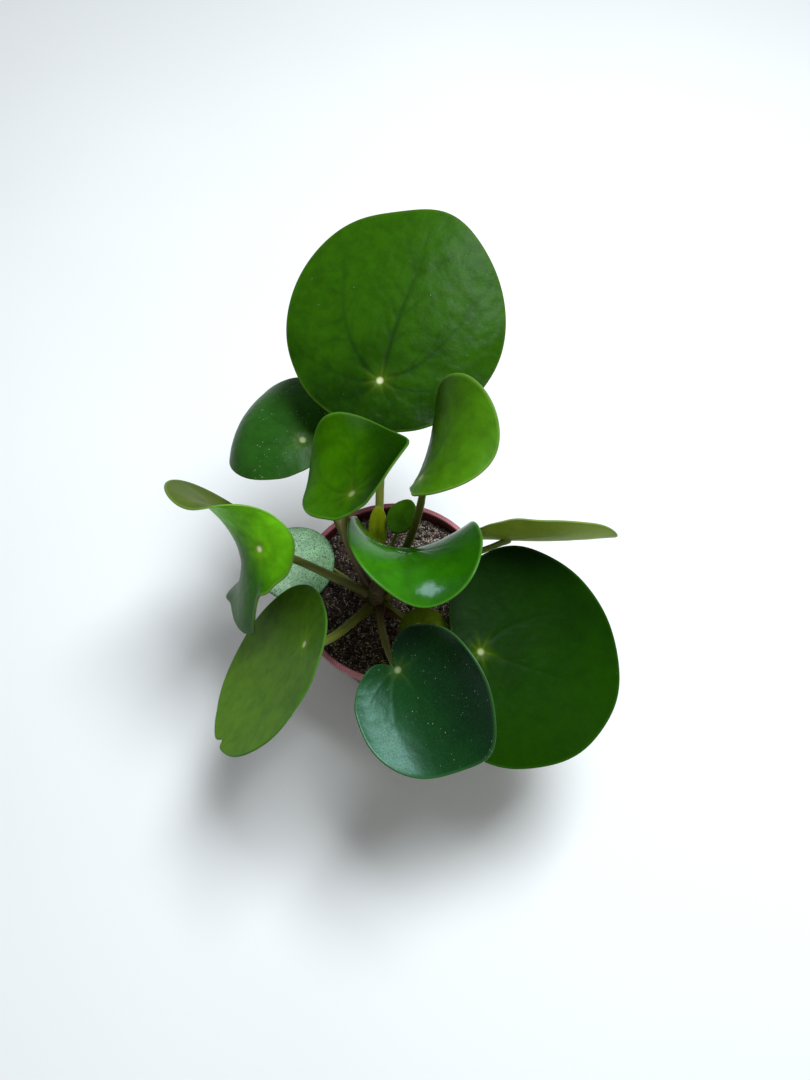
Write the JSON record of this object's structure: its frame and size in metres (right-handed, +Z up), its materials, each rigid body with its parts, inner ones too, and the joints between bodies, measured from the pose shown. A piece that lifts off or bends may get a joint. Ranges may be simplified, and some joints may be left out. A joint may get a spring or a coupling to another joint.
{
  "type": "potted chinese money plant",
  "caption": "Potted Chinese money plant: round, peltate, gently curled leaves on long stalks from one short stem, in a small tapered plastic nursery pot filled with soil.",
  "frame": {"origin": "centre of the pot's underside, on the surface that it stands on", "axes": "+Z up; the plant's front, as seen in the picture, is -Y, and +X is to its right"},
  "size_m": [0.1921, 0.2223, 0.1895],
  "materials": {
    "pot_plastic": "satin terracotta-red moulded plastic",
    "soil": "loose dark peat with pale grit",
    "stem_bark": "brown, scarred, semi-woody",
    "leaf_young": "glossy bright green",
    "leaf_old": "satin dark green with fine dust",
    "stalk_green": "satin olive green",
    "stalk_red": "satin red-brown"
  },
  "bodies": {
    "root": {"pot": "pot_plastic", "soil": "soil", "stem": "stem_bark", "blade_tall_back": "leaf_old", "stalk_tall_back": "stalk_green", "blade_dusty_back_left": "leaf_old", "stalk_dusty_back_left": "stalk_red", "blade_arched_centre": "leaf_young", "stalk_arched_centre": "stalk_red", "blade_cupped_back_right": "leaf_young", "stalk_cupped_back_right": "stalk_red", "blade_twisted_left": "leaf_young", "stalk_twisted_left": "stalk_green", "blade_hanging_left": "leaf_old", "stalk_hanging_left": "stalk_green", "blade_small_left": "leaf_old", "stalk_small_left": "stalk_green", "blade_saddle_front": "leaf_young", "stalk_saddle_front": "stalk_green", "blade_edge_right": "leaf_old", "stalk_edge_right": "stalk_green", "blade_large_right": "leaf_old", "stalk_large_right": "stalk_red", "blade_notched_front": "leaf_old", "stalk_notched_front": "stalk_red", "blade_shaded_front": "leaf_old", "stalk_shaded_front": "stalk_green", "blade_young_dark": "leaf_old", "stalk_young_dark": "stalk_green", "blade_young_upright": "leaf_young", "stalk_young_upright": "stalk_green"}
  },
  "joints": []
}
